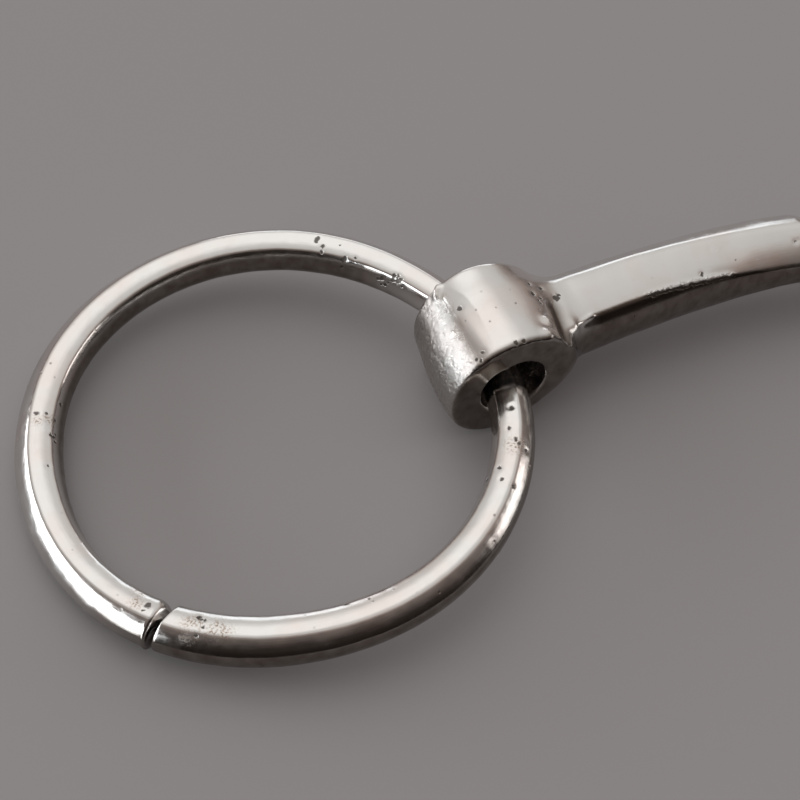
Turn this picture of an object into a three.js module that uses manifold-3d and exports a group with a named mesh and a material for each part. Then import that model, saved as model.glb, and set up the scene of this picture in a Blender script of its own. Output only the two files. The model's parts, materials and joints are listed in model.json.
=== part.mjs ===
// A single-jointed loose-ring snaffle bit, lying on a flat surface as it comes to rest.
//
// Two arms are linked eye in eye, each one casting with a barrel-shaped boss, a bowed and tapered arm and
// an eye. A ring of round bar runs loose through the hole in each boss. Millimetres, +X from the left ring
// to the right one, +Z up, and the origin on the surface below the middle of the whole bit.

import * as THREE from 'three';
import { mergeVertices } from 'three/addons/utils/BufferGeometryUtils.js';
import Module from 'manifold-3d';

// ---- Driving dimensions ---------------------------------------------------------------------------------

const ringOuterDiameter = 70;
const wireDiameter = 6.4;
const mouthpieceLength = 135; // from one ring hole to the other
const holeThroatRadius = 3.8;
const holeMouthRadius = 5.0;
const holeLipDepth = 0.7; // of the mouth's steeper cone, from the boss's end face
const holeLipFlare = 0.5; // that the cone widens by
const bossRadius = 9.8;
const bossLength = 15.4;
const bossEdgeRadius = 1.8;
const neckRadius = 6.4; // of the arm where it leaves the boss
const waistRadius = 5.3; // of the arm at its shoulder, just before the eye
const shoulderLength = 6.5; // over which the arm thins into the eye
const eyeStockRadius = 2.7;
const eyeHoleRadius = 3.2;
const eyeStem = 7; // the straight arm between the eye's middle circle and the bow
const bossStraight = 7; // the straight arm between the bow and the ring hole's centre
const bowAngle = THREE.MathUtils.degToRad(15); // between the two ends of one arm
const bossSkew = THREE.MathUtils.degToRad(5); // of the arm from square to its ring hole
const runningGap = 0.3; // left between pieces that touch
const wireShift = 0.35; // how far a ring is drawn outwards in its hole
const wireDrop = 0.15; // how low its bar hangs there
const seamGap = 0.4; // between the two ends of a ring's bar
const leftSeamAngle = THREE.MathUtils.degToRad(43); // round the ring from the point furthest from its boss
const rightSeamAngle = THREE.MathUtils.degToRad(-52);

// How finely the round surfaces are faceted.
const ringSteps = 48;
const wireSides = 11; // odd, so that one flat side of the bar faces the middle of the ring
const bossSides = 32;
const cornerSteps = 3;
const armSides = 16;
const armSteps = 14;
const armStepGrowth = 1.6; // the exponent that makes the arm's steps finer at the eye
const eyeSteps = 24;
const eyeSides = 12;
const weldDistance = 1e-4;
const overcut = 1; // how far a cutting body reaches beyond the metal

// ---- Sizes that follow ----------------------------------------------------------------------------------

const wireRadius = wireDiameter / 2;
const ringRadius = ringOuterDiameter / 2 - wireRadius;
const eyeRadius = eyeHoleRadius + eyeStockRadius;
const eyeStraight = eyeRadius + eyeStem;
const halfBoss = bossLength / 2;
const halfThroat = halfBoss / 4;

// Half of the distance between the eyes' centres when the two eyes pull against each other.
const eyeOffset = eyeRadius - eyeStockRadius - runningGap / 2;

// A flat side of the boss lies on the surface, so the hole's centre is as high as that side is deep.
const holeHeight = bossRadius * Math.cos(Math.PI / bossSides);

// The ring's far side lies on the surface as well.
const ringTilt = Math.asin((holeHeight - wireDrop - wireRadius) / (2 * ringRadius));

const wasm = await Module();
wasm.setup();

// ---- Solids ---------------------------------------------------------------------------------------------

function toSolid(geometry) {
  const bare = geometry.clone();
  bare.deleteAttribute('normal');
  bare.deleteAttribute('uv');
  const merged = mergeVertices(bare, weldDistance);
  return new wasm.Manifold(
    new wasm.Mesh({
      numProp: 3,
      vertProperties: new Float32Array(merged.attributes.position.array),
      triVerts: new Uint32Array(merged.index.array),
    }),
  );
}

function toGeometry(solid) {
  const mesh = solid.getMesh();
  const geometry = new THREE.BufferGeometry();
  geometry.setAttribute('position', new THREE.BufferAttribute(mesh.vertProperties, 3));
  geometry.setIndex(new THREE.BufferAttribute(mesh.triVerts, 1));
  geometry.computeVertexNormals();
  return geometry;
}

function lathe(outline, sides) {
  const points = outline.map(([radius, height]) => new THREE.Vector2(radius, height));
  return new THREE.LatheGeometry(points, sides);
}

// A quarter of a circle of outline points, from angle `from`, round the corner's centre.
function corner(centreRadius, centreHeight, radius, from) {
  return Array.from({ length: cornerSteps + 1 }, (_, i) => {
    const angle = from + (i / cornerSteps) * (Math.PI / 2);
    return [centreRadius + radius * Math.cos(angle), centreHeight + radius * Math.sin(angle)];
  });
}

// ---- One arm --------------------------------------------------------------------------------------------
// In its own frame the eye's centre is the origin, the arm leaves it along -X and bows towards -Y.

const bossDirection = new THREE.Vector3(-Math.cos(bowAngle), -Math.sin(bowAngle), 0);

// The bow is gentle at the boss and tighter at the eye: its end tangents meet a third of the way along it.
const bendShare = 1 / 3;

function bowOf(length) {
  const start = new THREE.Vector3(-eyeStraight, 0, 0);
  const bend = start.clone().add(new THREE.Vector3(-bendShare * length, 0, 0));
  const end = bend.clone().addScaledVector(bossDirection, (1 - bendShare) * length);
  return new THREE.QuadraticBezierCurve3(start, bend, end);
}

// The bow's length is what brings the ring hole to half of the mouthpiece's length.
const halfSpan = mouthpieceLength / 2 - eyeOffset;
const spanWithoutBow = eyeStraight + bossStraight * Math.cos(bowAngle);
const spanPerLength = bendShare + (1 - bendShare) * Math.cos(bowAngle);
const bow = bowOf((halfSpan - spanWithoutBow) / spanPerLength);
const holeCentre = bow.v2.clone().addScaledVector(bossDirection, bossStraight);

// The ring hole's axis, in the plane of the bow.
const holeDirection = bossDirection.clone().applyAxisAngle(
  new THREE.Vector3(0, 0, 1),
  Math.PI / 2 - bossSkew,
);

// A point of the arm's middle line, and the direction there, at a distance from the eye's centre.
function alongArm(distance) {
  const within = (distance - eyeStraight) / bow.getLength();
  const t = THREE.MathUtils.clamp(within, 0, 1);
  const point = bow.getPointAt(t);
  const tangent = bow.getTangentAt(t);
  const beyond = (within - t) * bow.getLength();
  point.addScaledVector(tangent, beyond);
  return { point, tangent };
}

// A straight tapered bar, turned about Y, is bent so that its own axis follows the arm's middle line.
function armBar() {
  const start = eyeRadius;
  const end = eyeStraight + bow.getLength() + bossStraight / 2;
  const outline = [[0, start]];
  for (let i = 0; i <= armSteps; i += 1) {
    const share = (i / armSteps) ** armStepGrowth;
    const distance = THREE.MathUtils.lerp(start, end, share);
    const taper = THREE.MathUtils.lerp(waistRadius, neckRadius, share);
    const shoulder = THREE.MathUtils.smoothstep(distance, start, start + shoulderLength);
    outline.push([THREE.MathUtils.lerp(eyeStockRadius, taper, shoulder), distance]);
  }
  outline.push([0, end]);
  const bar = lathe(outline, armSides);
  const up = new THREE.Vector3(0, 0, 1);
  const position = bar.attributes.position;
  for (let i = 0; i < position.count; i += 1) {
    const { point, tangent } = alongArm(position.getY(i));
    const side = new THREE.Vector3().crossVectors(up, tangent);
    point.addScaledVector(side, -position.getX(i));
    point.z = position.getZ(i);
    position.setXYZ(i, point.x, point.y, point.z);
  }
  return toSolid(bar);
}

// The boss and its hole are turned about Y, then laid along the hole's axis with a flat side straight down.
function layInBoss(geometry, sides) {
  geometry.rotateY(Math.PI / sides);
  const along = new THREE.Quaternion().setFromUnitVectors(new THREE.Vector3(0, 1, 0), holeDirection);
  geometry.applyQuaternion(along);
  geometry.translate(holeCentre.x, holeCentre.y, holeCentre.z);
  return toSolid(geometry);
}

function bossBarrel() {
  const shoulder = bossRadius - bossEdgeRadius;
  const end = halfBoss - bossEdgeRadius;
  const outline = [
    [0, -halfBoss],
    ...corner(shoulder, -end, bossEdgeRadius, -Math.PI / 2),
    ...corner(shoulder, end, bossEdgeRadius, 0),
    [0, halfBoss],
  ];
  return layInBoss(lathe(outline, bossSides), bossSides);
}

// The hole widens towards both mouths, because the ring that runs through it is curved.
function ringHole() {
  const outside = halfBoss + overcut;
  const lip = halfBoss - holeLipDepth;
  const outline = [
    [0, -outside],
    [holeMouthRadius + holeLipFlare, -outside],
    [holeMouthRadius, -lip],
    [holeThroatRadius, -halfThroat],
    [holeThroatRadius, halfThroat],
    [holeMouthRadius, lip],
    [holeMouthRadius + holeLipFlare, outside],
    [0, outside],
  ];
  return layInBoss(lathe(outline, bossSides), bossSides);
}

// A level eye lies in the plane of the bow, and an upright eye stands a quarter turn from it.
function armGeometry(uprightEye) {
  const eye = new THREE.TorusGeometry(eyeRadius, eyeStockRadius, eyeSides, eyeSteps);
  if (uprightEye) {
    eye.rotateX(Math.PI / 2);
  }
  const casting = armBar().add(bossBarrel()).add(toSolid(eye)).subtract(ringHole());
  return toGeometry(casting);
}

// ---- One ring -------------------------------------------------------------------------------------------
// In its own frame the bar passes through the origin along Y, and the ring's middle lies on -X.

function ringGeometry(seamAngle) {
  const ring = new THREE.TorusGeometry(ringRadius, wireRadius, wireSides, ringSteps);
  ring.rotateZ(Math.PI / ringSteps);
  const across = 2 * (wireRadius + overcut);
  const cut = new THREE.BoxGeometry(across, seamGap, across);
  cut.translate(-ringRadius, 0, 0);
  cut.rotateZ(seamAngle);
  const open = toGeometry(toSolid(ring).subtract(toSolid(cut)));
  open.translate(-ringRadius, 0, 0);
  return open;
}

// ---- The assembly ---------------------------------------------------------------------------------------

const castSteel = { color: 0xbab5b0, metalness: 1, roughness: 0.35 };
const ringSteel = { color: 0xbfbdb8, metalness: 1, roughness: 0.3 };

function piece(name, geometry, steel) {
  const mesh = new THREE.Mesh(geometry, new THREE.MeshStandardMaterial(steel));
  mesh.name = name;
  return mesh;
}

// A half of the bit, drawn as the left one: the arm with its eye's centre at the origin, and its ring.
function half(side, uprightEye, seamAngle) {
  const group = new THREE.Group();
  group.add(piece(`${side}_arm`, armGeometry(uprightEye), castSteel));
  const ring = piece(`${side}_ring`, ringGeometry(seamAngle), ringSteel);
  const outward = holeDirection.clone().applyAxisAngle(new THREE.Vector3(0, 0, 1), -Math.PI / 2);
  ring.position.copy(holeCentre).addScaledVector(outward, wireShift);
  ring.rotation.set(0, -ringTilt, Math.atan2(-outward.y, -outward.x), 'ZYX');
  group.add(ring);
  return { group, ring };
}

const left = half('left', false, leftSeamAngle);
left.group.position.set(-eyeOffset, 0, holeHeight);
left.ring.position.z -= wireDrop;

// The right half is the same casting turned over, so its own -Z is up and its ring tilts the other way.
const right = half('right', true, rightSeamAngle);
right.group.position.set(eyeOffset, 0, holeHeight);
right.group.rotation.y = Math.PI;
right.ring.position.z += wireDrop;
right.ring.rotation.y = ringTilt;

const bit = new THREE.Group();
bit.add(left.group, right.group);

// The origin moves to the surface below the middle of the bit.
bit.updateMatrixWorld(true);
const box = new THREE.Box3().setFromObject(bit, true);
const middle = box.getCenter(new THREE.Vector3());
bit.position.set(-middle.x, -middle.y, -box.min.z);

export default bit;
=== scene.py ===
"""Looks of the loose-ring snaffle bit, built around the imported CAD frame.

Each arm is cast: its surface is a blend of a boss, a bowed bar and an eye, meshed from a distance
field. Each ring is swept: a worn round bar, a little out of round, whose two ends meet in an open
seam. Shapes are worked out in millimetres, and every mesh is turned into metres at its real place.
"""

import json
import math
from types import SimpleNamespace

import bpy
import numpy as np
from mathutils import Matrix, Vector, noise


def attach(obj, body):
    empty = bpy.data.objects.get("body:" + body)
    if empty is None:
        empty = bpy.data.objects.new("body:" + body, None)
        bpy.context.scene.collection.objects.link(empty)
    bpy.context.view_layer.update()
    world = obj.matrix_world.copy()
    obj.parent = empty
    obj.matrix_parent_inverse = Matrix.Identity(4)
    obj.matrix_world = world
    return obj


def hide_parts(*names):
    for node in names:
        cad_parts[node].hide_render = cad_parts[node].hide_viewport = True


MM = 0.001

# ---- Sizes, in millimetres and degrees -----------------------------------------------------------

WIRE_RADIUS = 3.2
RING_RADIUS = 31.8  # of the bar's middle line
WIRE_SHIFT = 0.35  # how far the bar is drawn outwards in its hole
WIRE_DROP = 0.15  # and how far it hangs in it
SEAM_ANGLES = {"left": 223, "right": 128}  # round the ring from its boss
SEAM_GAP = 0.35
SEAM_SLANT = 14  # of the gap from square across the bar

BOSS_RADIUS = 9.8
BOSS_HALF = 7.7
THROAT_RADIUS = 3.8
MOUTH_RADIUS = 4.9

NECK_RADIUS = 6.4
WAIST_RADIUS = 5.3
TAPER_END = 66  # along the arm from the eye's centre, as all places along it are given
SHOULDER = 6.5
EYE_STOCK = 2.7
EYE_RADIUS = 5.9
RUNNING_GAP = 0.3  # between the linked eyes
EYE_OFFSET = EYE_RADIUS - EYE_STOCK - RUNNING_GAP / 2  # of an eye's centre from the bit's middle
EYE_STEM = 7
EYE_STRAIGHT = EYE_RADIUS + EYE_STEM
BOSS_STRAIGHT = 7
BOW = 15

GRID_STEP = 0.26

# ---- The frame -----------------------------------------------------------------------------------

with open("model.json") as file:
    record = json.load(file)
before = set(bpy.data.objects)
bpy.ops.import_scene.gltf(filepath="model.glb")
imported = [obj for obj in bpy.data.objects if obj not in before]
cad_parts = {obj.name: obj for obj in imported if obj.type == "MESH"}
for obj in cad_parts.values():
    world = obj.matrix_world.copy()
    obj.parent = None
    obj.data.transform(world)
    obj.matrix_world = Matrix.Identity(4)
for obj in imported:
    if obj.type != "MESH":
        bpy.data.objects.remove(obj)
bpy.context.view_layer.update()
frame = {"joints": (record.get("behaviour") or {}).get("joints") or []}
joints = {joint["name"]: joint for joint in frame["joints"]}


def in_millimetres(metres):
    return np.array(metres) / MM


def swing_of(side):
    """The point of a ring's bar inside its hole, the hole's axis, and the way out from the arm."""
    joint = joints[side + "_ring_swing"]
    axis = np.array(joint["axis"], float)
    outward = np.array([-axis[1], axis[0], 0])
    return in_millimetres(joint["pos_m"]), axis, outward


def hole_of(side):
    bar, _, outward = swing_of(side)
    return bar - WIRE_SHIFT * outward + [0, 0, WIRE_DROP]


middle_pivot = in_millimetres(joints["middle_joint"]["pos_m"])
eye_centres = {
    side: np.array([offset, middle_pivot[1], middle_pivot[2]])
    for side, offset in (("left", -EYE_OFFSET), ("right", EYE_OFFSET))
}

# ---- The camera ----------------------------------------------------------------------------------

CAMERA_AZIMUTH = -22.15
CAMERA_ELEVATION = 51.49
CAMERA_ROLL = 8.69
CAMERA_DISTANCE = 196.3
AIM_FROM_HOLE = np.array([-12.97, -2.59, -5.80])  # of the left boss
FOCAL_LENGTH = 63


def make_camera():
    azimuth = math.radians(CAMERA_AZIMUTH)
    elevation = math.radians(CAMERA_ELEVATION)
    back = Vector(
        (
            math.sin(azimuth) * math.cos(elevation),
            -math.cos(azimuth) * math.cos(elevation),
            math.sin(elevation),
        )
    )
    level = Vector((math.cos(azimuth), math.sin(azimuth), 0))
    right = Matrix.Rotation(math.radians(CAMERA_ROLL), 3, back) @ level
    turn = Matrix((right, back.cross(right), back)).transposed().to_4x4()
    aim = Vector(hole_of("left") + AIM_FROM_HOLE)
    data = bpy.data.cameras.new("camera")
    data.lens = FOCAL_LENGTH
    data.clip_start = 0.01
    camera = bpy.data.objects.new("camera", data)
    camera.matrix_world = Matrix.Translation((aim + CAMERA_DISTANCE * back) * MM) @ turn
    bpy.context.collection.objects.link(camera)
    bpy.context.scene.camera = camera


make_camera()

# ---- Distance fields -----------------------------------------------------------------------------
# A field is negative inside the metal. Points are rows of an array, in millimetres.


def smooth_step(low, high, value):
    t = np.clip((value - low) / (high - low), 0, 1)
    return t * t * (3 - 2 * t)


def join(first, second, blend):
    """Metal where either field has it, with a fillet about `blend` wide."""
    overlap = np.maximum(blend - np.abs(first - second), 0)
    return np.minimum(first, second) - overlap * overlap / (4 * blend)


def trim(first, second, blend):
    """Metal only where both fields have it, with an edge rounded by about `blend`."""
    return -join(-first, -second, blend)


BOW_SAMPLES = 200
BOW_BEYOND = 20  # how far the middle line runs on past the hole


class Bow:
    """The arm's middle line, from the eye's centre at the origin out along -X to past the hole."""

    def __init__(self, hole):
        bow = math.radians(BOW)
        way = np.array([-math.cos(bow), -math.sin(bow)])
        bend = hole - way * (hole[1] / way[1])
        start = np.array([-EYE_STRAIGHT, 0])
        end = hole - way * BOSS_STRAIGHT
        t = np.linspace(0, 1, BOW_SAMPLES)[:, None]
        curve = (1 - t) ** 2 * start + 2 * t * (1 - t) * bend + t**2 * end
        heading = (1 - t) * (bend - start) + t * (end - bend)
        points = np.vstack([[0, 0], curve, hole + BOW_BEYOND * way])
        steps = np.linalg.norm(np.diff(points, axis=0), axis=1)
        angles = np.arctan2(-heading[:, 1], -heading[:, 0])
        self.x, self.y = points.T
        self.distance = np.concatenate([[0], np.cumsum(steps)])
        self.angle = np.concatenate([[0], angles, [bow]])
        self.hole_distance = self.distance[-1] - BOW_BEYOND

    def place(self, points):
        """How far along the arm each point is, and how far to its -Y side."""
        along = np.interp(-points[:, 0], -self.x, self.distance)
        for _ in range(3):
            angle = np.interp(along, self.distance, self.angle)
            dx = points[:, 0] - np.interp(along, self.distance, self.x)
            dy = points[:, 1] - np.interp(along, self.distance, self.y)
            along = along - dx * np.cos(angle) - dy * np.sin(angle)
        return along, dx * np.sin(angle) - dy * np.cos(angle)


# ---- The arm's shape -----------------------------------------------------------------------------

# The casting line, in degrees above the level of the arm's middle line on its -Y side.
CREASE_AT_EYE = 24
CREASE_AT_BOSS = 46
CREASE_RUN = (8, 46)  # where along the arm it goes from the one to the other
CREASE_TO_TOP_FLAT = 34  # from the casting line round to where the flat above it faces
TOP_TO_BACK_FLAT = 52
# The bar's flats: how far out and how crowned, as shares of its radius.
TOP_FLAT = (0.87, 2.6)
BACK_FLAT = (0.955, 1.6)
FLAT_TO_FLAT_BLEND = 0.06
CREASE_BLEND = 0.22

# The boss's flats: where each faces round the hole from straight outwards, how far out its middle
# is, how crowned it is, and the blend at its edges.
BOSS_TOP_FLAT = (97, 9.35, 14, 1.6)
BOSS_OUTER_FLAT = (36, 9.4, 10.5, 1.2)
BOSS_LOWER_FLAT = (-4, 9.85, 11, 1.5)
OUTER_LEAN = 0.08  # how much deeper the outer flat cuts towards the far end of the hole
LOWER_CUT = 1.6  # how much deeper the lower one cuts there
LOWER_CUT_RUN = (0.5, -8)  # and where along the hole it gets deeper
BELLY = 0.75  # how far the boss's outer side swells
BELLY_FACING = -18
BELLY_SPAN = (60, 15)  # degrees from there at which it has died out, and at which it is full
BELLY_MIDDLE = 2.6  # towards the -Y mouth of the hole
BELLY_REACH = 4.5
END_ROUNDING = 1.0
END_WEAR = 2.4  # more rounding low on the arm's side of the boss's ends
THROAT_HALF = 0.25 * BOSS_HALF
MOUTH_LIP = 0.3

NECK_BLEND = 4.6
EYE_BLEND = 1.6
MOUTH_BLEND = 0.6


def crowned_flat(across, up, facing, offset, crown):
    """A gently crowned flat whose middle lies `offset` out in the direction `facing`, in radians."""
    centre = offset - crown
    return np.hypot(across - centre * np.cos(facing), up - centre * np.sin(facing)) - crown


def crease_angle(along):
    share = smooth_step(*CREASE_RUN, along)
    return np.radians(CREASE_AT_EYE + (CREASE_AT_BOSS - CREASE_AT_EYE) * share)


def bar_field(along, side, up):
    """The bowed bar: round on its sides, with two flats above and two below that meet at creases."""
    taper = (along - EYE_RADIUS) / (TAPER_END - EYE_RADIUS)
    full = WAIST_RADIUS + (NECK_RADIUS - WAIST_RADIUS) * taper
    shoulder = smooth_step(EYE_RADIUS, EYE_RADIUS + SHOULDER, along)
    radius = EYE_STOCK + (full - EYE_STOCK) * shoulder
    height = np.abs(up) / radius
    across = side / radius
    top_facing = crease_angle(along) + math.radians(CREASE_TO_TOP_FLAT)
    back_facing = top_facing + math.radians(TOP_TO_BACK_FLAT)
    top = crowned_flat(across, height, top_facing, *TOP_FLAT)
    back = crowned_flat(across, height, back_facing, *BACK_FLAT)
    flats = radius * trim(top, back, FLAT_TO_FLAT_BLEND)
    field = trim(np.hypot(side, up) - radius, flats, CREASE_BLEND)
    return np.maximum(field, EYE_RADIUS - 1 - along)


def boss_belly(axial, outward, up):
    """How far the boss swells beyond its barrel."""
    from_belly = np.abs(np.degrees(np.arctan2(up, outward)) - BELLY_FACING)
    swell = np.exp(-(((axial - BELLY_MIDDLE) / BELLY_REACH) ** 2))
    return BELLY * swell * smooth_step(*BELLY_SPAN, from_belly)


def cut_flat(metal, across, up, flat):
    facing, offset, crown, blend = flat
    return trim(metal, crowned_flat(across, up, math.radians(facing), offset, crown), blend)


def boss_field(axial, outward, up):
    """The barrel round the hole: flats above and beneath it and two outside, and a belly low down."""
    belly = boss_belly(axial, outward, up)
    leaning = outward - OUTER_LEAN * (axial - 0.5 * BOSS_HALF)
    cut_into = outward + LOWER_CUT * smooth_step(*LOWER_CUT_RUN, axial) - belly
    sides = np.hypot(outward, up) - BOSS_RADIUS - belly
    sides = cut_flat(sides, outward, np.abs(up), BOSS_TOP_FLAT)
    sides = cut_flat(sides, leaning, up, BOSS_OUTER_FLAT)
    sides = cut_flat(sides, cut_into, up, BOSS_LOWER_FLAT)
    rounding = END_ROUNDING + END_WEAR * smooth_step(1, -8, outward) * smooth_step(5, -4, up)
    return trim(sides, np.abs(axial) - BOSS_HALF, rounding)


def hole_field(axial, outward, up):
    """Positive inside the bell-mouthed hole."""
    open_up = smooth_step(THROAT_HALF, BOSS_HALF - MOUTH_LIP, np.abs(axial))
    radius = THROAT_RADIUS + (MOUTH_RADIUS - THROAT_RADIUS) * open_up
    return radius - np.hypot(outward, up)


def eye_field(points, upright):
    """A round eye about the origin, in the plane of the bow or upright."""
    across, out_of_plane = points[:, 1], points[:, 2]
    if upright:
        across, out_of_plane = out_of_plane, across
    from_middle = np.hypot(points[:, 0], across) - EYE_RADIUS
    return np.hypot(from_middle, out_of_plane) - EYE_STOCK


class Arm:
    """One arm in its own frame: eye centre at the origin, arm along -X, bow towards -Y."""

    def __init__(self, side):
        self.side = side
        self.mirror = np.array([1 if side == "left" else -1, 1, 1])
        self.hole = ((hole_of(side) - eye_centres[side]) * self.mirror)[:2]
        _, _, outward = swing_of(side)
        self.outward = (outward * self.mirror)[:2]
        self.axis = np.array([-self.outward[1], self.outward[0]])
        self.bow = Bow(self.hole)
        self.upright = side == "right"

    def in_boss(self, points):
        """Along the ring hole towards -Y, outwards from the arm, and up, from the hole's centre."""
        flat = points[:, :2] - self.hole
        return flat @ self.axis, flat @ self.outward, points[:, 2]

    def from_boss(self, axial, outward, up):
        flat = self.hole + axial * self.axis + outward * self.outward
        return np.array([flat[0], flat[1], up])

    def field(self, points):
        along, side = self.bow.place(points)
        bar = bar_field(along, side, points[:, 2])
        bar = np.maximum(bar, along - self.bow.hole_distance)
        boss_place = self.in_boss(points)
        metal = join(bar, boss_field(*boss_place), NECK_BLEND)
        metal = join(metal, eye_field(points, self.upright), EYE_BLEND)
        return trim(metal, hole_field(*boss_place), MOUTH_BLEND)

    def to_world(self, points):
        return points * self.mirror + eye_centres[self.side]


# ---- Meshing a field -----------------------------------------------------------------------------

SLOPE_REACH = 0.02
SETTLING_STEPS = 3  # that bring the vertices onto the surface
LEAST_STEEPNESS = 0.1


def surface_nets(field, low, step):
    """Quads of the zero surface of a sampled field: one vertex per cell that the surface crosses."""
    inside = field < 0
    size = np.array(field.shape)
    count = np.zeros(size - 1, int)
    for corner in np.ndindex(2, 2, 2):
        part = tuple(slice(c, c + n - 1) for c, n in zip(corner, size))
        count += inside[part]
    active = (count > 0) & (count < 8)
    number = np.full(size - 1, -1)
    number[active] = np.arange(active.sum())
    cells = np.argwhere(active)
    total = np.zeros((len(cells), 3))
    hits = np.zeros(len(cells))
    for axis in range(3):
        others = [a for a in range(3) if a != axis]
        for pair in np.ndindex(2, 2):
            start = cells.copy()
            start[:, others] += pair
            end = start.copy()
            end[:, axis] += 1
            a = field[tuple(start.T)]
            b = field[tuple(end.T)]
            crossed = (a < 0) != (b < 0)
            share = np.where(crossed, a / np.where(crossed, a - b, 1), 0)
            point = start.astype(float)
            point[:, axis] += share
            total += np.where(crossed[:, None], point, 0)
            hits += crossed
    vertices = low + step * total / hits[:, None]
    quads = []
    for axis in range(3):
        first, second = (axis + 1) % 3, (axis + 2) % 3
        lower = [slice(None)] * 3
        upper = [slice(None)] * 3
        lower[axis] = slice(0, -1)
        upper[axis] = slice(1, None)
        change = inside[tuple(lower)] != inside[tuple(upper)]
        edges = np.argwhere(change)
        edges = edges[(edges[:, first] > 0) & (edges[:, second] > 0)]
        ring = []
        for back_first, back_second in ((0, 0), (1, 0), (1, 1), (0, 1)):
            cell = edges.copy()
            cell[:, first] -= back_first
            cell[:, second] -= back_second
            ring.append(number[tuple(cell.T)])
        ring = np.stack(ring, axis=1)
        outwards = inside[tuple(edges.T)]
        ring[~outwards] = ring[~outwards][:, ::-1]
        quads.append(ring)
    return vertices, np.vstack(quads)


def slope_of(field, points):
    slope = np.empty_like(points)
    for axis in range(3):
        offset = np.zeros(3)
        offset[axis] = SLOPE_REACH
        rise = field(points + offset) - field(points - offset)
        slope[:, axis] = rise / (2 * SLOPE_REACH)
    return slope


def mesh_field(field, low, high, step):
    """Vertices on the field's zero surface, their normals, and quads."""
    axes = [np.arange(a, b + step, step) for a, b in zip(low, high)]
    grid = np.stack(np.meshgrid(*axes, indexing="ij"), axis=-1)
    values = field(grid.reshape(-1, 3)).reshape(grid.shape[:3])
    vertices, quads = surface_nets(values, np.array(low, float), step)
    for _ in range(SETTLING_STEPS):
        slope = slope_of(field, vertices)
        steepness = np.sum(slope * slope, axis=1)
        move = field(vertices) / np.maximum(steepness, LEAST_STEEPNESS)
        move = np.clip(move, -step, step)
        vertices = vertices - move[:, None] * slope
    slope = slope_of(field, vertices)
    normals = slope / np.linalg.norm(slope, axis=1)[:, None]
    return vertices, normals, quads


# ---- Marks on a surface --------------------------------------------------------------------------

NOISE_SHIFT = 17.3  # between the noises of two seeds
SHADE_OFF_BACK_AND_LEFT = 0.85  # how much of the painted shade is taken off faces turned to the back and left
SHADE_OFF_LOWEST = 0.75  # and off faces turned straight down


def ripple(points, size, seed):
    """Smooth noise between about -1 and 1, whose features are about `size` wide."""
    shift = NOISE_SHIFT * seed
    return np.array([noise.noise(Vector(p)) for p in points / size + shift])


def near_segment(points, start, end, radius):
    """1 on the line from start to end, falling smoothly to 0 about a radius away."""
    start, end = np.array(start), np.array(end)
    way = end - start
    share = np.clip((points - start) @ way / max(way @ way, 1e-9), 0, 1)
    distance = np.linalg.norm(points - start - share[:, None] * way, axis=1)
    return np.exp(-((distance / radius) ** 2))


def near_points(points, centres, radii):
    """1 at any of the centres, falling smoothly to 0 about its radius away."""
    found = np.zeros(len(points))
    for centre, radius in zip(centres, radii):
        found = np.maximum(found, near_segment(points, centre, centre, radius))
    return found


def scatter(points, centre, spread, count, random):
    """Places on the surface, strewn around a point."""
    wanted = np.array(centre) + random.normal(0, spread, (count, 3))
    nearest = [np.argmin(np.sum((points - place) ** 2, axis=1)) for place in wanted]
    return [points[k] for k in nearest]


def painted_shade_of(normals):
    """Painted shade: darker on faces turned sideways or down, less on those turned to the back or the left
    unless they face down, and less on those turned straight down.
    """
    right, back, up = normals.T
    lowest = smooth_step(-0.6, -0.85, up)
    side_and_under_shade = smooth_step(0.80, 0.30, up) * (1 - SHADE_OFF_LOWEST * lowest)
    underneath = smooth_step(-0.3, -0.65, up)
    turned_back_or_left = np.maximum(smooth_step(0.1, 0.6, back), smooth_step(0.5, 0.95, -right))
    return side_and_under_shade * np.maximum(1 - SHADE_OFF_BACK_AND_LEFT * turned_back_or_left, underneath)


# ---- Turning points into objects -----------------------------------------------------------------


def new_object(name, vertices, faces, attributes):
    """A smooth mesh whose vertices carry numbers and vectors for its material."""
    mesh = bpy.data.meshes.new(name)
    mesh.from_pydata((vertices * MM).tolist(), [], faces)
    for key, values in attributes.items():
        kind, slot = ("FLOAT", "value") if values.ndim == 1 else ("FLOAT_VECTOR", "vector")
        attribute = mesh.attributes.new(key, kind, "POINT")
        attribute.data.foreach_set(slot, values.astype(np.float32).ravel())
    mesh.shade_smooth()
    mesh.update()
    thing = bpy.data.objects.new(name, mesh)
    bpy.context.collection.objects.link(thing)
    return thing


def put_in_frame(thing, node, material):
    thing.data.materials.append(material)
    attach(thing, node)
    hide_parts(node)


# ---- The arms ------------------------------------------------------------------------------------

# What casting and wear left on the boss. Places on it are given along the hole, outwards and up.
LUMPS = (((4.2, -5.8, 7.6), 0.9), ((6.6, -4.6, 8.0), 1.0), ((4.0, -10.6, 3.9), 1.0))
# Runs go from one place to another, and have a radius.
BURR = ((-7.1, 5.4, 7.0), (-6.2, 6.2, 6.4), 0.55)
STREAK = ((3.7, -11.6, 4.0), (3.1, -14.4, 4.1), 0.3)
GROOVE = ((1.2, -8.9, 6.0), (6.6, -7.8, 5.8), 1.35)
VALLEY = ((-5.0, 6.5, 6.9), (6.2, 5.8, 7.5), 1.1)
LUMP_HEIGHT = 0.42
BURR_HEIGHT = 0.7
STREAK_HEIGHT = 0.24
GROOVE_DEPTH = 0.6
VALLEY_DEPTH = 0.12

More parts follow.
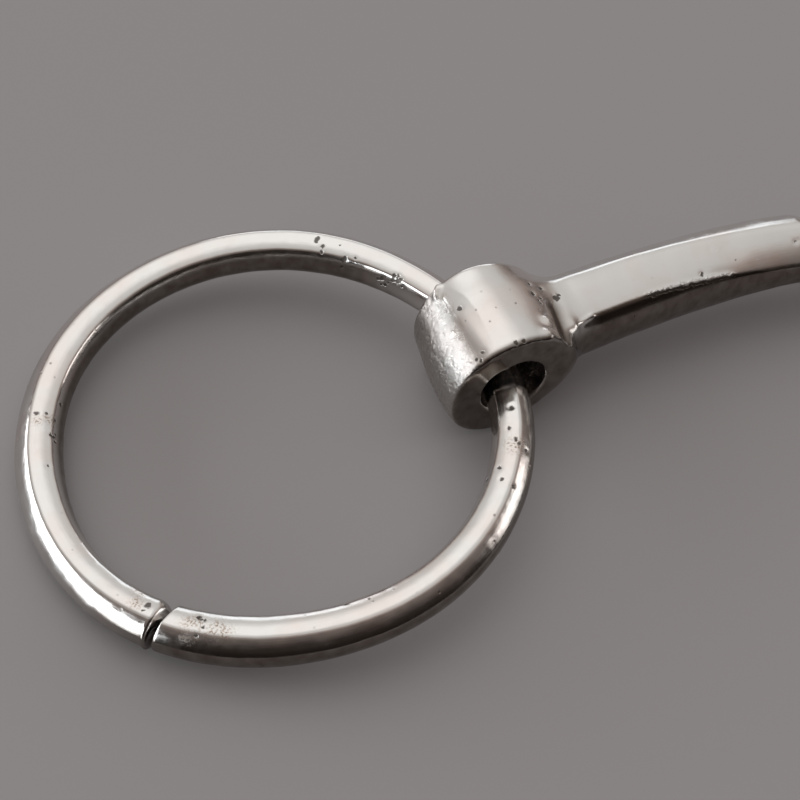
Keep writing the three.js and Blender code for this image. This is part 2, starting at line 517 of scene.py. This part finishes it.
# Clusters of pits on the boss: the place, their spread and how many.
BOSS_PITS = (
    ((-0.6, -7.6, 7.0), 1.3, 7),
    ((-0.5, -10.2, 5.8), 0.5, 3),
    ((-1.9, 4.7, 8.6), 0.3, 1),
    ((5.6, -1.0, 9.2), 1.5, 2),
    ((6.8, 5.2, 8.0), 0.7, 3),
)
ARM_PITS = ((28.5, 84), (31.5, 47), (14.1, 64), (13.4, 66))  # along the arm, degrees above its -Y side
ARM_PIT_RADII = (0.3, 0.55)
ARM_PIT_DEPTH = 0.08

# The grainy part of the boss's outer side, in degrees round the hole from straight outwards.
GRAIN_TOP = (52, 47)
GRAIN_BOTTOM = (-75, -40)
GRAIN_HEIGHT = 0.05
COARSE_GRAIN = 0.7
FINE_GRAIN = 0.4
# And the part of it that gets painted shade.
FLANK_TOP = (34, 16)
FLANK_BOTTOM = (-100, -60)
WAVE_SIZE = 4.5
WAVE_HEIGHT = 0.05
FLASH = (25, 43)  # where the thin fin along the casting line starts and ends
FLASH_FADE = 3
FLASH_WIDTH = 0.35
FLASH_HEIGHT = 0.10
# The painted shade below the casting line: how far above and below the line it starts, how much lower
# it starts by the eye, where along the arm that ends, and where it stops short of the boss.
DARK_START = (0.1, -0.25)
DARK_DROP = 1.2
DARK_DROP_RUN = (24, 12)
DARK_END = (53, 50)
AROUND_SCALE = 6  # millimetres of scratch pattern for a radian round the bar
ARM_DRAWS = {"left": 5, "right": 11}  # what the random draws start from
ARM_NOISE = {"left": 1, "right": 2}
ARM_MARGIN = (12, 11, 10.5)  # of the meshed box beyond the hole's centre, and half its height
EYE_MARGIN = 10


def grain_of(arm, points):
    """How grainy the casting was left: on the boss's outer side only."""
    axial, outward, up = arm.in_boss(points)
    round_hole = np.degrees(np.arctan2(up, outward))
    on_outside = smooth_step(*GRAIN_TOP, round_hole) * smooth_step(*GRAIN_BOTTOM, round_hole)
    far_out = smooth_step(5, 7, np.hypot(outward, up))
    return on_outside * far_out * smooth_step(BOSS_HALF - 0.1, BOSS_HALF - 0.9, np.abs(axial))


def arm_surface_point(arm, distance, angle):
    """A point of the bar's surface, at a distance from the eye and an angle above the -Y side."""
    bow = arm.bow
    heading = np.interp(distance, bow.distance, bow.angle)
    middle = [np.interp(distance, bow.distance, line) for line in (bow.x, bow.y)]
    radius = 0.9 * WAIST_RADIUS + 0.02 * distance
    side = radius * math.cos(math.radians(angle))
    up = radius * math.sin(math.radians(angle))
    return np.array([middle[0] + side * math.sin(heading), middle[1] - side * math.cos(heading), up])


def arm_pits(arm, points, random):
    centres = []
    for place, spread, count in BOSS_PITS:
        centres += scatter(points, arm.from_boss(*place), spread, count, random)
    for distance, angle in ARM_PITS:
        centres.append(arm_surface_point(arm, distance, angle))
    return near_points(points, centres, random.uniform(*ARM_PIT_RADII, len(centres)))


def near_run(arm, points, run):
    start, end, radius = run
    return near_segment(points, arm.from_boss(*start), arm.from_boss(*end), radius)


def boss_painted_shade(arm, points):
    """Painted shade on the lower part of the boss's outer side, and on the rim of its -Y end."""
    axial, outward, up = arm.in_boss(points)
    round_hole = np.degrees(np.arctan2(up, outward))
    facing_out = smooth_step(*FLANK_TOP, round_hole) * smooth_step(*FLANK_BOTTOM, round_hole)
    flank = 0.6 * facing_out * smooth_step(7, 8, outward)
    rim = 0.85 * np.exp(-(((axial - 7.3) / 0.4) ** 2)) * smooth_step(2, 5, up)
    return np.maximum(flank, rim)


# Painted shade inside the ring hole, which goes with the pits.
def in_hole(arm, points):
    axial, outward, up = arm.in_boss(points)
    near_axis = smooth_step(5.2, 4.6, np.hypot(outward, up))
    return near_axis * smooth_step(BOSS_HALF + 0.3, BOSS_HALF - 0.6, np.abs(axial))


def dress_arm(arm, points, normals):
    """Moves the surface out and in for what casting and wear left on it. Returns points and marks."""
    random = np.random.default_rng(ARM_DRAWS[arm.side])
    seed = ARM_NOISE[arm.side]
    along, side = arm.bow.place(points)
    around = np.arctan2(points[:, 2], side)
    grain = grain_of(arm, points)
    lumps = near_points(points, [arm.from_boss(*place) for place, _ in LUMPS], [size for _, size in LUMPS])
    burr, streak, groove, valley = (near_run(arm, points, run) for run in (BURR, STREAK, GROOVE, VALLEY))
    pits = arm_pits(arm, points, random)

    from_crease = (np.abs(around) - crease_angle(along)) * np.hypot(side, points[:, 2])
    flash_starts = smooth_step(FLASH[0], FLASH[0] + FLASH_FADE, along)
    on_flash = flash_starts * smooth_step(FLASH[1], FLASH[1] - FLASH_FADE, along)
    flash = np.exp(-((from_crease / FLASH_WIDTH) ** 2)) * on_flash
    # Painted shade on the bar below the casting line.
    from_dark = from_crease + DARK_DROP * smooth_step(*DARK_DROP_RUN, along)
    shade_below_crease = smooth_step(*DARK_START, from_dark) * smooth_step(*DARK_END, along)

    coarse, fine = ripple(points, COARSE_GRAIN, seed + 4), ripple(points, FINE_GRAIN, seed + 6)
    height = WAVE_HEIGHT * ripple(points, WAVE_SIZE, seed) * (1 - grain)
    height += GRAIN_HEIGHT * grain * (coarse + 0.8 * fine)
    height += LUMP_HEIGHT * lumps + BURR_HEIGHT * burr + STREAK_HEIGHT * streak
    height += FLASH_HEIGHT * flash
    height -= GROOVE_DEPTH * groove + VALLEY_DEPTH * valley + ARM_PIT_DEPTH * pits
    # Darker places: painted shade by which way the surface faces, below the casting line, in the valley,
    # on the boss's lower outer flank and on its -Y rim; and darker along the groove.
    darkenings = (
        painted_shade_of(normals) * (1 - 0.5 * grain),
        shade_below_crease,
        1.2 * groove - 0.2,
        0.55 * valley,
        boss_painted_shade(arm, points),
    )
    marks = {
        # This mark carries the pits and also painted shade inside the ring hole.
        "pits_and_hole_shade": np.maximum(pits, 0.7 * in_hole(arm, points)),
        "grain": grain,
        "shade_and_grime": np.maximum.reduce(darkenings),
        "rust": np.zeros(len(points)),
        "flash": on_flash,
        "from_crease": np.clip(from_crease, -2, 2),
        "lay": np.stack([along, around * AROUND_SCALE, np.zeros(len(points))], axis=1),
    }
    return points + height[:, None] * normals, marks


def make_arm(side, material):
    arm = Arm(side)
    beyond, aside, half_height = ARM_MARGIN
    low = np.array([arm.hole[0] - beyond, arm.hole[1] - aside, -half_height])
    high = np.array([EYE_MARGIN, EYE_MARGIN, half_height])
    points, normals, quads = mesh_field(arm.field, low, high, GRID_STEP)
    points, marks = dress_arm(arm, points, normals)
    if side == "right":
        quads = quads[:, ::-1]
    thing = new_object(side + "_cast_arm", arm.to_world(points), quads.tolist(), marks)
    put_in_frame(thing, side + "_arm", material)


# ---- The rings -----------------------------------------------------------------------------------

RING_STEPS = 860
BAR_SIDES = 72
CAP_STEPS = 9
HOLE_SHARE = 11  # degrees of the ring, each way from the boss, that stay true to run in the hole
# Waves round the ring: how many, how high, and where the first one is. These are in millimetres.
OUT_OF_ROUND = ((2, 0.13, -147), (3, 0.26, -90), (4, 0.09, 114), (5, 0.10, -28))
# The bar's thickness, as a share of the CAD's. It is worn thinnest in the hole.
THICKNESS = 0.95
THICKNESS_WAVES = ((1, 0.02, -164), (2, 0.03, 156), (4, 0.02, -146))
SWELLING = 0.06  # where the bar was bent hardest
SWELLING_AT = 173
SWELLING_REACH = 18
TIP_ROUNDING = {"before": 0.3, "after": 0.4}  # of the bar's ends, before and after the seam
INNER_ROUNDING = 1.9  # more on the inner side of the end before the seam
TIP_BULGE = 0.09  # of that end
TIP_BULGE_REACH = 0.8
CUT_REACH = 4  # how far from the seam the bar's sections lean with the cut
# Flats worn along the bar: where they face round it from straight outwards, depth and crown.
WORN_FLATS = ((104, 0.045, 1.5), (47, 0.07, 2.8), (163, 0.06, 1.7), (-80, 0.05, 2.0))
WORN_FLAT_BLEND = 0.012
FLAT_SPAN = 0.3  # cosine of how far round from its facing a flat can reach
MOST_WORN_AT = 190
LEAST_WEAR = 0.75
MORE_WEAR = 0.35
OUTER_EDGE = 73  # where the outer flat meets the top, round the bar from straight outwards
OUTER_EDGE_WIDTH = 0.22
RING_WAVE = (3.2, 0.035)  # size and height
RING_SKIN = (1.0, 0.012)
RING_PIT_DEPTH = 0.06
RING_PIT_RADII = (0.26, 0.5)
RUST_RADII = (0.5, 1.1)
RING_DRAWS = {"left": 3, "right": 8}
RING_NOISE = {"left": 31, "right": 41}


def sum_of_waves(angle, waves):
    return sum(height * np.cos(count * angle - math.radians(first)) for count, height, first in waves)


def signed_degrees(angle, middle):
    """Degrees from a place round the ring, between -180 and 180."""
    return (np.degrees(angle) - middle + 180) % 360 - 180


def out_of_round(angle):
    """How far the bar's middle line leaves the true circle, in millimetres."""
    free = smooth_step(HOLE_SHARE, 2.2 * HOLE_SHARE, np.abs(signed_degrees(angle, 0)))
    return free * sum_of_waves(angle, OUT_OF_ROUND)


def bar_thickness(angle):
    """The bar's mean radius at each place round the ring, as a share of the CAD's."""
    swelling = SWELLING * np.exp(-((signed_degrees(angle, SWELLING_AT) / SWELLING_REACH) ** 2))
    return THICKNESS + sum_of_waves(angle, THICKNESS_WAVES) + swelling


def bar_section(angle, around):
    """The bar's radius in each direction round it, as a share of the round bar's."""
    wear = LEAST_WEAR + MORE_WEAR * np.cos(angle - math.radians(MOST_WORN_AT)) ** 2
    radius = np.ones_like(around)
    for facing, depth, crown in WORN_FLATS:
        turn = around - math.radians(facing)
        centre = 1 - depth * wear - crown
        inside = np.maximum(crown**2 - (centre * np.sin(turn)) ** 2, 0)
        flat = centre * np.cos(turn) + np.sqrt(inside)
        facing_it = np.cos(turn) > FLAT_SPAN
        radius = np.where(facing_it, join(radius, flat, WORN_FLAT_BLEND), radius)
    return radius


def end_share(distance, rounding):
    """How much of its radius the bar keeps near an end."""
    inner = np.clip(1 - distance / rounding, 0, 1)
    return np.sqrt(np.maximum(1 - inner**2, 0))


def tip_share(around, from_start, from_end):
    """The same for both ends, one of which is rounded more on its inner side and bulges."""
    inner_side = (1 - np.cos(around)) / 2
    rounding = TIP_ROUNDING["before"] + INNER_ROUNDING * inner_side
    bulge = TIP_BULGE * np.exp(-((from_end / TIP_BULGE_REACH) ** 2))
    return end_share(from_start, TIP_ROUNDING["after"]) * end_share(from_end, rounding) * (1 + bulge)


def ring_rows(seam):
    """Angles of the bar's cross-sections, and how far each is from the two ends, in millimetres."""
    length = 2 * math.pi * RING_RADIUS - SEAM_GAP
    quarter = np.linspace(0, math.pi / 2, CAP_STEPS, endpoint=False)
    first = TIP_ROUNDING["after"] * (1 - np.cos(quarter))
    deepest = TIP_ROUNDING["before"] + INNER_ROUNDING
    last = length - deepest * (1 - np.cos(quarter))
    middle = np.linspace(TIP_ROUNDING["after"], length - deepest, RING_STEPS)
    distance = np.concatenate([first, middle, last[::-1]])
    return seam + (SEAM_GAP / 2 + distance) / RING_RADIUS, distance, length - distance


def ring_tilt(side):
    """The ring's far side lies on the floor and its bar hangs in the hole."""
    bar, _, _ = swing_of(side)
    return math.asin((bar[2] - WIRE_RADIUS) / (2 * RING_RADIUS))


def ring_point(angle, around, radius=WIRE_RADIUS):
    """A point of a true ring, in the ring's own frame: its bar passes through the origin along Y."""
    out = RING_RADIUS + radius * np.cos(around)
    place = [out * np.cos(angle) - RING_RADIUS, out * np.sin(angle), radius * np.sin(around)]
    return np.stack(place, axis=-1)


def ring_turn(side):
    """The ring's own axes, as rows."""
    _, _, outward = swing_of(side)
    tilt = ring_tilt(side)
    to_arm = -outward * math.cos(tilt) + np.array([0, 0, math.sin(tilt)])
    along_hole = np.cross([0, 0, 1], -outward)
    return np.stack([to_arm, along_hole, np.cross(to_arm, along_hole)])


def ring_surface(angle, around, from_start, from_end):
    """Points of the bar's surface and the way they face, in the ring's own frame, as rows."""
    radius = WIRE_RADIUS * bar_section(angle, around) * bar_thickness(angle)
    radius = radius * tip_share(around, from_start, from_end)
    # The cut leans, so the inner side of the bar reaches further round than the outer side.
    near_cut = np.exp(-np.minimum(from_start, from_end) / CUT_REACH)
    lean = -math.tan(math.radians(SEAM_SLANT)) * WIRE_RADIUS / RING_RADIUS
    points = ring_point(angle + lean * near_cut * np.cos(around), around, radius)
    middle = out_of_round(angle)
    points[..., 0] += middle * np.cos(angle)
    points[..., 1] += middle * np.sin(angle)
    way = [np.cos(angle) * np.cos(around), np.sin(angle) * np.cos(around), np.sin(around)]
    return points.reshape(-1, 3), np.stack(way, axis=-1).reshape(-1, 3)


def ring_faces(rows):
    """Quads along the bar, and a fan on each end whose middle vertices come last."""
    row = np.arange(rows - 1)[:, None] * BAR_SIDES
    column = np.arange(BAR_SIDES)[None, :]
    after = (column + 1) % BAR_SIDES
    next_row = row + BAR_SIDES
    quads = np.stack([row + column, next_row + column, next_row + after, row + after], axis=-1)
    faces = quads.reshape(-1, 4).tolist()
    start, end = rows * BAR_SIDES, rows * BAR_SIDES + 1
    last = (rows - 1) * BAR_SIDES
    for k in range(BAR_SIDES):
        following = (k + 1) % BAR_SIDES
        faces.append([start, k, following])
        faces.append([end, last + following, last + k])
    return faces


# Clusters of pits and of rust: degrees round the ring from the boss, degrees round the bar from
# outwards, spread in millimetres and count.
PIT_CLUSTERS = (
    (153, 124, 0.9, 4),
    (161, 138, 0.7, 4),
    (30, 150, 0.9, 9),
    (34, 162, 0.6, 4),
    (56, 101, 0.5, 3),
    (50, 140, 1.4, 5),
    (-23, 88, 0.2, 1),
    (-29, 99, 0.2, 1),
    (-33, 74, 0.7, 4),
    (-44, 100, 0.9, 4),
    (-128, 78, 0.8, 5),
    (-142, 92, 0.8, 3),
    (172, 125, 0.3, 1),
    (-95, 135, 0.3, 1),
)
RUST_CLUSTERS = (
    (-129, 82, 1.3, 7),
    (-125, 72, 0.9, 4),
    (-143, 96, 0.9, 3),
    (-33, 76, 0.7, 3),
    (157, 130, 1.0, 4),
)


def cluster_centres(clusters, shift, points, random):
    centres = []
    for angle, around, spread, count in clusters:
        middle = ring_point(math.radians(angle + shift), math.radians(around))
        centres += scatter(points, middle, spread, count, random)
    return centres


def ring_pits_and_rust(side, points, random):
    """The left ring's where the photo shows them, and the right one's turned by a random angle."""
    shift = 0 if side == "left" else random.uniform(60, 300)
    pit_centres = cluster_centres(PIT_CLUSTERS, shift, points, random)
    rust_centres = cluster_centres(RUST_CLUSTERS, shift, points, random)
    pits = near_points(points, pit_centres, random.uniform(*RING_PIT_RADII, len(pit_centres)))
    rust = near_points(points, rust_centres, random.uniform(*RUST_RADII, len(rust_centres)))
    return pits, rust


def seam_grime_and_edge_shade(seam, angle, around, from_cut):
    """Grime inside the bar by the seam, and a faint line of painted shade along the outer flat's top edge
    on the way to it.
    """
    ahead = (seam - angle) % (2 * math.pi) / math.pi
    from_edge = (around - math.radians(OUTER_EDGE)) * WIRE_RADIUS
    edge = 0.55 * np.exp(-((from_edge / OUTER_EDGE_WIDTH) ** 2)) * smooth_step(0.5, 0.3, ahead)
    grime = 0.6 * smooth_step(0.45, 0.8, -np.cos(around)) * np.exp(-from_cut / 3)
    return np.maximum(edge, grime)


def make_ring(side, material):
    random = np.random.default_rng(RING_DRAWS[side])
    seed = RING_NOISE[side]
    seam = math.radians(SEAM_ANGLES[side])
    row_angle, from_start, from_end = ring_rows(seam)
    rows = len(row_angle)
    bar_angles = np.linspace(0, 2 * math.pi, BAR_SIDES, endpoint=False)
    around, angle = np.meshgrid(bar_angles, row_angle)
    from_start, from_end = from_start[:, None], from_end[:, None]
    points, normals = ring_surface(angle, around, from_start, from_end)

    pits, rust = ring_pits_and_rust(side, points, random)
    height = -RING_PIT_DEPTH * pits
    for number, (size, depth) in enumerate((RING_WAVE, RING_SKIN)):
        height += depth * ripple(points, size, seed + number)
    points = points + height[:, None] * normals
    turn = ring_turn(side)
    by_seam = seam_grime_and_edge_shade(seam, angle, around, np.minimum(from_start, from_end)).ravel()
    lay = np.stack([angle * RING_RADIUS, around * WIRE_RADIUS, 0 * angle], axis=-1).reshape(-1, 3)

    marks = dict.fromkeys(("grain", "flash", "from_crease"), np.zeros(len(points)))
    # Painted shade by which way the bar faces at rest, with grime and a painted dark line by the seam.
    marks |= {"pits_and_hole_shade": pits, "rust": rust, "shade_and_grime": np.maximum(painted_shade_of(normals @ turn), by_seam)}
    marks = {key: np.append(values, [0, 0]) for key, values in marks.items()}
    marks["lay"] = np.vstack([lay, lay[[0, -1]]])
    caps = points.reshape(rows, BAR_SIDES, 3)[[0, -1]].mean(axis=1)
    bar, _, _ = swing_of(side)
    places = np.vstack([points, caps]) @ turn + bar
    thing = new_object(side + "_worn_ring", places, ring_faces(rows), marks)
    put_in_frame(thing, side + "_ring", material)


# ---- Materials -----------------------------------------------------------------------------------

STEEL = (0.80, 0.785, 0.765)
WARM_STEEL = (0.80, 0.74, 0.71)
SHADE_GRIME_BROWN = (0.145, 0.118, 0.098)
PIT_AND_SHADOW_BROWN = (0.06, 0.047, 0.038)
RUST_BROWN = (0.30, 0.19, 0.11)
SCRATCH_STRETCH = (0.12, 3, 1)  # of the scratch pattern, along the metal and round it
RAGGEDNESS = 0.3
FIN_SHADOW_BELOW = 0.42  # how far below the casting line the painted shadow under its fin runs, in millimetres
# Roughness that each kind of mark adds.
SCRATCHED, GRAINY, RUSTY, PITTED = 0.08, 0.10, 0.3, 0.3
# Bump heights, in millimetres.
FINE_BUMP = 0.004
GRAIN_BUMP = 0.12
PIT_BUMP = 0.05
FIN_BUMP = 0.08


class NodeMaker:
    """Short calls for the nodes of one material."""

    def __init__(self, material):
        self.nodes = material.node_tree.nodes
        self.links = material.node_tree.links

    def node(self, kind, inputs=None, **settings):
        made = self.nodes.new(kind)
        for key, value in settings.items():
            setattr(made, key, value)
        for key, value in (inputs or {}).items():
            if isinstance(value, bpy.types.NodeSocket):
                self.links.new(value, made.inputs[key])
            else:
                made.inputs[key].default_value = value
        return made

    def mark(self, name, output="Fac"):
        """What the mesh carries under this name."""
        return self.node("ShaderNodeAttribute", attribute_name=name).outputs[output]

    def stretched(self, vector, scale):
        return self.node("ShaderNodeMapping", {"Vector": vector, "Scale": scale}).outputs[0]

    def math(self, operation, first, second, clamp=False):
        made = self.node("ShaderNodeMath", {0: first, 1: second}, operation=operation, use_clamp=clamp)
        return made.outputs[0]

    def dot(self, first, second):
        made = self.node("ShaderNodeVectorMath", {0: first, 1: second}, operation="DOT_PRODUCT")
        return made.outputs["Value"]

    def spread(self, value, low, high, to_low=0.0, to_high=1.0):
        """Carries the range from low to high over to another one, and stays within that."""
        inputs = {"Value": value, "From Min": low, "From Max": high, "To Min": to_low, "To Max": to_high}
        return self.node("ShaderNodeMapRange", inputs).outputs["Result"]

    def mix(self, share, first, second):
        made = self.node("ShaderNodeMix", {"Factor": share}, data_type="RGBA")
        for key, value in (("A_Color", first), ("B_Color", second)):
            socket = next(s for s in made.inputs if s.identifier == key)
            if isinstance(value, bpy.types.NodeSocket):
                self.links.new(value, socket)
            else:
                socket.default_value = (*value, 1)
        return next(s for s in made.outputs if s.identifier == "Result_Color")

    def noise(self, vector, scale, detail=2.0, roughness=0.5):
        inputs = {"Vector": vector, "Scale": scale, "Detail": detail, "Roughness": roughness}
        return self.node("ShaderNodeTexNoise", inputs).outputs["Fac"]


def steel_patterns(make):
    """The patterns that a steel's colour, roughness and height share."""
    in_mm = make.stretched(make.node("ShaderNodeTexCoord").outputs["Object"], (1 / MM,) * 3)
    lay = make.stretched(make.mark("lay", "Vector"), SCRATCH_STRETCH)
    uneven = make.spread(make.noise(in_mm, 1.3, 3, 0.6), 0.25, 0.75, -RAGGEDNESS, RAGGEDNESS)
    from_fin = make.math("ADD", make.mark("from_crease"), uneven)
    fin = make.spread(make.math("ABSOLUTE", from_fin, 0.0), 0.2, 0.04)
    # A painted shadow just under the fin of the casting line.
    from_fin_shadow = make.math("ABSOLUTE", make.math("ADD", from_fin, FIN_SHADOW_BELOW), 0.0)
    painted_fin_shadow = make.spread(from_fin_shadow, 0.32, 0.1)
    rust_spots = make.spread(make.noise(in_mm, 3.4, 2), 0.5, 0.6, 0.15, 1.0)
    return SimpleNamespace(
        in_mm=in_mm,
        broad=make.noise(in_mm, 0.12),
        cloudy=make.noise(in_mm, 0.6, 4),
        fine=make.noise(in_mm, 2.6, 4, 0.65),
        scratches=make.noise(lay, 1.0, 5, 0.7),
        grain=make.mark("grain"),
        pits_and_hole_shade=make.spread(make.math("ADD", make.mark("pits_and_hole_shade"), uneven), 0.5, 0.72),
        fin=make.math("MULTIPLY", fin, make.mark("flash")),
        painted_fin_shadow=make.math("MULTIPLY", painted_fin_shadow, make.mark("flash")),
        rusty=make.math("MULTIPLY", make.mark("rust"), rust_spots, clamp=True),
    )


def darkness_of(make, steel):
    """Pits, painted shade in the ring hole, small dark specks in places, and a painted shadow under the
    fin of the casting line.
    """
    specks = make.node("ShaderNodeTexVoronoi", {"Vector": steel.in_mm, "Scale": 0.55})
    in_places = make.spread(steel.broad, 0.5, 0.6)
    speck = make.spread(specks.outputs["Distance"], 0.13, 0.07)
    speck = make.math("MULTIPLY", speck, in_places)
    dark = make.math("MULTIPLY", steel.pits_and_hole_shade, 0.85)
    for mark, strength in ((speck, 0.5), (steel.painted_fin_shadow, 0.7)):
        dark = make.math("MAXIMUM", dark, make.math("MULTIPLY", mark, strength))
    return dark


def steel_colour(make, steel, dark):
    """Warm and cool clouds, painted shade and grime in dark brown, rust, and brown for the pits, the
    painted shade in the hole and the painted shadow under the fin.
    """
    # Painted shade and grime turn the steel dark brown; the fin is kept clear of it.
    shade_grime_share = make.math("MULTIPLY", make.mark("shade_and_grime"), make.spread(steel.cloudy, 0.3, 0.7, 0.86, 1.0))
    shade_grime_share = make.math("SUBTRACT", shade_grime_share, steel.fin, clamp=True)
    colour = make.mix(make.spread(steel.broad, 0.42, 0.62), STEEL, WARM_STEEL)
    colour = make.mix(shade_grime_share, colour, SHADE_GRIME_BROWN)
    colour = make.mix(make.math("MULTIPLY", steel.rusty, 0.75), colour, RUST_BROWN)
    return make.mix(dark, colour, PIT_AND_SHADOW_BROWN)


def steel_roughness(make, steel, dark, polish):
    """Polished, with hazy clouds, and rough where it is scratched, grainy, rusty or pitted."""
    rough = make.spread(steel.cloudy, 0.3, 0.7, polish - 0.05, polish + 0.07)
    rough = make.math("ADD", rough, make.spread(steel.scratches, 0.5, 0.75, 0, SCRATCHED))
    rough = make.math("ADD", rough, make.math("MULTIPLY", steel.grain, GRAINY))
    rough = make.math("ADD", rough, make.math("MULTIPLY", steel.rusty, RUSTY))
    return make.math("ADD", rough, make.math("MULTIPLY", dark, PITTED), clamp=True)


def steel_height(make, steel, dark, scratch_bump):
    """Scratches along the metal, a fine skin, the sparkle of the grain, pits and the fin."""
    sparkle = make.math("MULTIPLY", make.noise(steel.in_mm, 2.6, 3, 0.7), steel.grain)
    height = make.math("MULTIPLY", steel.scratches, scratch_bump)
    height = make.math("ADD", height, make.math("MULTIPLY", steel.fine, FINE_BUMP))
    height = make.math("ADD", height, make.math("MULTIPLY", sparkle, GRAIN_BUMP))
    height = make.math("SUBTRACT", height, make.math("MULTIPLY", dark, PIT_BUMP))
    return make.math("ADD", height, make.math("MULTIPLY", steel.fin, FIN_BUMP))


def make_steel(name, polish, scratch_bump):
    """Worn bright steel. Marks on the mesh say where it is pitted, grainy or rusty, and where it is
    darkened by painted shade and by grime.
    """
    material = bpy.data.materials.new(name)
    material.use_nodes = True
    make = NodeMaker(material)
    steel = steel_patterns(make)
    dark = darkness_of(make, steel)
    height = steel_height(make, steel, dark, scratch_bump)
    bump = make.node("ShaderNodeBump", {"Height": height, "Distance": MM, "Strength": 1.0})
    shader = make.nodes["Principled BSDF"]
    shader.inputs["Metallic"].default_value = 1
    make.links.new(steel_colour(make, steel, dark), shader.inputs["Base Color"])
    make.links.new(steel_roughness(make, steel, dark, polish), shader.inputs["Roughness"])
    make.links.new(bump.outputs[0], shader.inputs["Normal"])
    return material


cast_steel = make_steel("cast_steel", 0.17, 0.006)
ring_steel = make_steel("ring_steel", 0.15, 0.008)
for side in ("left", "right"):
    make_arm(side, cast_steel)
    make_ring(side, ring_steel)

# ---- The stage -----------------------------------------------------------------------------------

FLOOR_COLOUR = (0.40, 0.383, 0.388)
FLOOR_HALF = 8
# The surround: how far up its slope each colour is.
SKY = (
    (0.14, (0.030, 0.024, 0.020)),
    (0.39, (0.20, 0.165, 0.15)),
    (0.49, (0.34, 0.29, 0.265)),
    (0.58, (0.58, 0.56, 0.54)),
    (0.80, (0.70, 0.69, 0.675)),
)
SKY_SLOPE = (0.0, 0.45, 1.0)  # it grows paler this way
SKY_RANGE = (-0.1, 1.3)
GLOW_WAY = (-0.12, 0.42, 0.90)  # and palest round here
GLOW_EDGE = (0.84, 0.96)
GLOW = 0.50
# Name, azimuth, elevation, distance, width, height, brightness and colour. Sizes are in metres.
LIGHTS = (
    ("window", -84, 11, 1.8, 2.9, 0.56, 4.0, (0.92, 0.97, 1.0)),
    ("back", 16, 12, 1.3, 0.8, 0.40, 0.9, (0.86, 0.94, 1.0)),
    ("fill", 98, 15, 1.0, 0.50, 0.30, 1.6, (1.0, 0.97, 0.95)),
)


def make_floor():
    mesh = bpy.data.meshes.new("floor")
    corners = [(x * FLOOR_HALF, y * FLOOR_HALF, 0) for x, y in ((-1, -1), (1, -1), (1, 1), (-1, 1))]
    mesh.from_pydata(corners, [], [(0, 1, 2, 3)])
    floor = bpy.data.objects.new("floor", mesh)
    bpy.context.collection.objects.link(floor)
    material = bpy.data.materials.new("floor")
    material.use_nodes = True
    shader = material.node_tree.nodes["Principled BSDF"]
    shader.inputs["Base Color"].default_value = (*FLOOR_COLOUR, 1)
    shader.inputs["Roughness"].default_value = 0.9
    shader.inputs["Specular IOR Level"].default_value = 0
    mesh.materials.append(material)


def soft_light(name, azimuth, elevation, distance, width, height, brightness, colour):
    """A rectangular light that faces the left boss. Azimuth 0 is towards +Y and 90 towards +X."""
    a, e = math.radians(azimuth), math.radians(elevation)
    way = Vector((math.sin(a) * math.cos(e), math.cos(a) * math.cos(e), math.sin(e)))
    data = bpy.data.lights.new(name, "AREA")
    data.shape = "RECTANGLE"
    data.size, data.size_y = width, height
    data.energy = brightness * math.pi * width * height
    data.color = colour
    light = bpy.data.objects.new(name, data)
    target = Vector(hole_of("left")) * MM
    light.location = target + way * distance
    light.rotation_euler = way.to_track_quat("Z", "Y").to_euler()
    bpy.context.collection.objects.link(light)


def make_world():
    """A soft surround: dark in front near the horizon, pale behind, palest overhead."""
    world = bpy.data.worlds.new("studio")
    bpy.context.scene.world = world
    world.use_nodes = True
    make = NodeMaker(world)
    way = make.node("ShaderNodeTexCoord").outputs["Generated"]
    slope = make.spread(make.dot(way, SKY_SLOPE), *SKY_RANGE)
    ramp = make.node("ShaderNodeValToRGB", {0: slope})
    stops = ramp.color_ramp.elements
    while len(stops) < len(SKY):
        stops.new(0.5)
    for stop, (position, colour) in zip(stops, SKY):
        stop.position = position
        stop.color = (*colour, 1)
    glow = make.spread(make.dot(way, GLOW_WAY), *GLOW_EDGE, 1.0, 1.0 + GLOW)
    background = make.nodes["Background"]
    make.links.new(ramp.outputs[0], background.inputs["Color"])
    make.links.new(glow, background.inputs["Strength"])


make_floor()
make_world()
for light in LIGHTS:
    soft_light(*light)
bpy.context.scene.view_settings.view_transform = "Standard"
